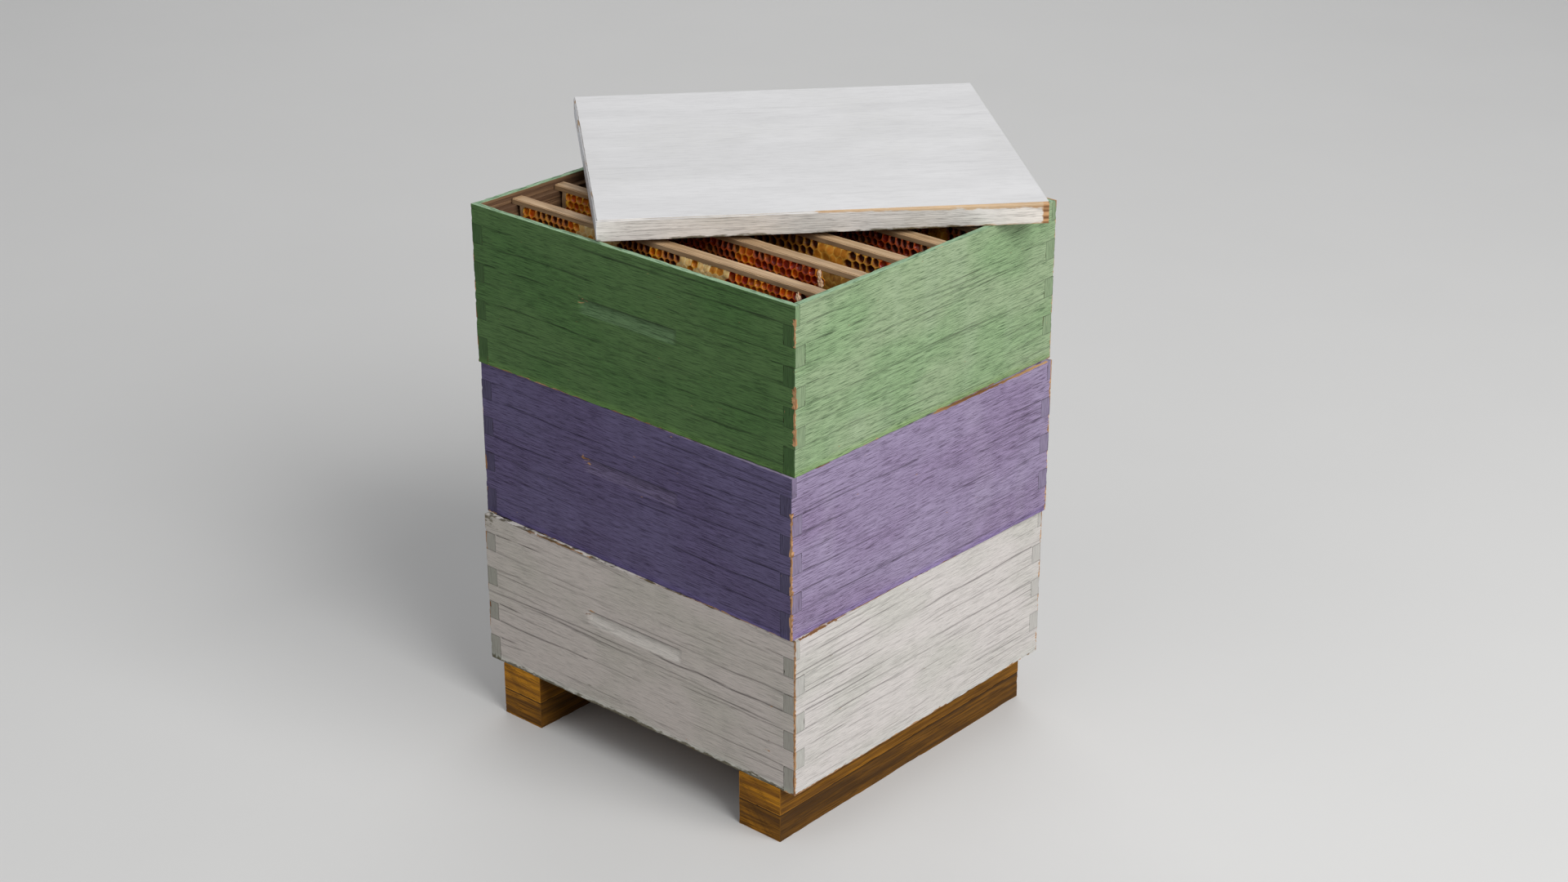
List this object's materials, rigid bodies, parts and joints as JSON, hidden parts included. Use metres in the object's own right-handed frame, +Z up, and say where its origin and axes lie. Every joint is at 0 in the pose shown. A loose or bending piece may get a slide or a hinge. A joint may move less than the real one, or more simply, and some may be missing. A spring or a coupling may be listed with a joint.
{
  "type": "beehive",
  "caption": "Stacked timber beehive: finger-jointed painted boxes of hanging comb frames on a pair of runners, with a flat lid set skew and pushed back.",
  "frame": {"origin": "on the ground, under the centre of the bounding box of the whole hive with its skewed lid", "axes": "+Z up; -Y is the front face of the bottom box, with the handhold; the frames run along X"},
  "size_m": [0.5968, 0.607, 0.5855],
  "materials": {
    "green_paint": "matt green exterior paint on pine, thin and streaky, rubbed to bare wood on the corners; bare inside",
    "purple_paint": "matt purple exterior paint on pine, thin and streaky, rubbed to bare wood on the corners; bare inside",
    "white_paint": "matt grey-white exterior paint on pine, stained along its lower edge; bare inside",
    "lid_paint": "matt off-white paint, worn to the wood along the front and right edges",
    "stand_timber": "unpainted weathered golden-brown softwood",
    "floor_ply": "unpainted weathered plywood",
    "frame_wood": "planed pine darkened by wax and propolis",
    "beeswax": "drawn comb, dark brood cells in the middle, amber honey and pale cappings towards the top, satin",
    "nail_steel": "dull wire nail, lightly rusted"
  },
  "bodies": {
    "stand": {"left_runner_upper": "stand_timber", "left_runner_lower": "stand_timber", "left_runner_nails": "nail_steel", "right_runner_upper": "stand_timber", "right_runner_lower": "stand_timber", "right_runner_nails": "nail_steel", "floor_panel": "floor_ply"},
    "lid": {"lid_panel": "lid_paint"},
    "bottom_box": {"bottom_front_board": "white_paint", "bottom_back_board": "white_paint", "bottom_left_board": "white_paint", "bottom_right_board": "white_paint"},
    "middle_box": {"middle_front_board": "purple_paint", "middle_back_board": "purple_paint", "middle_left_board": "purple_paint", "middle_right_board": "purple_paint"},
    "top_box": {"top_front_board": "green_paint", "top_back_board": "green_paint", "top_left_board": "green_paint", "top_right_board": "green_paint"},
    "bottom_frames": {"bottom_frame_top_bars": "frame_wood", "bottom_frame_side_bars": "frame_wood", "bottom_frame_bottom_bars": "frame_wood", "bottom_frame_combs": "beeswax"},
    "middle_frames": {"middle_frame_top_bars": "frame_wood", "middle_frame_side_bars": "frame_wood", "middle_frame_bottom_bars": "frame_wood", "middle_frame_combs": "beeswax"},
    "top_frame_1": {"top_frame_1_top_bar": "frame_wood", "top_frame_1_left_side_bar": "frame_wood", "top_frame_1_right_side_bar": "frame_wood", "top_frame_1_bottom_bar": "frame_wood", "top_frame_1_comb": "beeswax"},
    "top_frame_2": {"top_frame_2_top_bar": "frame_wood", "top_frame_2_left_side_bar": "frame_wood", "top_frame_2_right_side_bar": "frame_wood", "top_frame_2_bottom_bar": "frame_wood", "top_frame_2_comb": "beeswax"},
    "top_frame_3": {"top_frame_3_top_bar": "frame_wood", "top_frame_3_left_side_bar": "frame_wood", "top_frame_3_right_side_bar": "frame_wood", "top_frame_3_bottom_bar": "frame_wood", "top_frame_3_comb": "beeswax"},
    "top_frame_4": {"top_frame_4_top_bar": "frame_wood", "top_frame_4_left_side_bar": "frame_wood", "top_frame_4_right_side_bar": "frame_wood", "top_frame_4_bottom_bar": "frame_wood", "top_frame_4_comb": "beeswax"},
    "top_frame_5": {"top_frame_5_top_bar": "frame_wood", "top_frame_5_left_side_bar": "frame_wood", "top_frame_5_right_side_bar": "frame_wood", "top_frame_5_bottom_bar": "frame_wood", "top_frame_5_comb": "beeswax"},
    "top_frame_6": {"top_frame_6_top_bar": "frame_wood", "top_frame_6_left_side_bar": "frame_wood", "top_frame_6_right_side_bar": "frame_wood", "top_frame_6_bottom_bar": "frame_wood", "top_frame_6_comb": "beeswax"}
  },
  "joints": [
    {"name": "bottom_box_lift", "type": "slide", "parent": "stand", "child": "bottom_box", "axis": [0, 0, 1], "range_m": [0, 0.1]},
    {"name": "middle_box_lift", "type": "slide", "parent": "bottom_box", "child": "middle_box", "axis": [0, 0, 1], "range_m": [0, 0.34]},
    {"name": "top_box_lift", "type": "slide", "parent": "middle_box", "child": "top_box", "axis": [0, 0, 1], "range_m": [0, 0.34]},
    {"name": "lid_lift", "type": "slide", "parent": "top_box", "child": "lid", "axis": [0, 0, 1], "range_m": [0, 0.34]},
    {"name": "bottom_frames_lift", "type": "slide", "parent": "bottom_box", "child": "bottom_frames", "axis": [0, 0, 1], "range_m": [0, 0.17]},
    {"name": "middle_frames_lift", "type": "slide", "parent": "middle_box", "child": "middle_frames", "axis": [0, 0, 1], "range_m": [0, 0.17]},
    {"name": "top_frame_1_lift", "type": "slide", "parent": "top_box", "child": "top_frame_1", "axis": [0, 0, 1], "range_m": [0, 0.17]},
    {"name": "top_frame_2_lift", "type": "slide", "parent": "top_box", "child": "top_frame_2", "axis": [0, 0, 1], "range_m": [0, 0.17]},
    {"name": "top_frame_3_lift", "type": "slide", "parent": "top_box", "child": "top_frame_3", "axis": [0, 0, 1], "range_m": [0, 0.17]},
    {"name": "top_frame_4_lift", "type": "slide", "parent": "top_box", "child": "top_frame_4", "axis": [0, 0, 1], "range_m": [0, 0.17]},
    {"name": "top_frame_5_lift", "type": "slide", "parent": "top_box", "child": "top_frame_5", "axis": [0, 0, 1], "range_m": [0, 0.17]},
    {"name": "top_frame_6_lift", "type": "slide", "parent": "top_box", "child": "top_frame_6", "axis": [0, 0, 1], "range_m": [0, 0.17]}
  ],
  "couplings": [
    {"joint": "bottom_frames_lift", "follows": "middle_box_lift", "ratio": 0.5},
    {"joint": "middle_frames_lift", "follows": "top_box_lift", "ratio": 0.5},
    {"joint": "top_frame_1_lift", "follows": "lid_lift", "ratio": 0.5},
    {"joint": "top_frame_2_lift", "follows": "lid_lift", "ratio": 0.5},
    {"joint": "top_frame_3_lift", "follows": "lid_lift", "ratio": 0.5},
    {"joint": "top_frame_4_lift", "follows": "lid_lift", "ratio": 0.5},
    {"joint": "top_frame_5_lift", "follows": "lid_lift", "ratio": 0.5},
    {"joint": "top_frame_6_lift", "follows": "lid_lift", "ratio": 0.5}
  ]
}
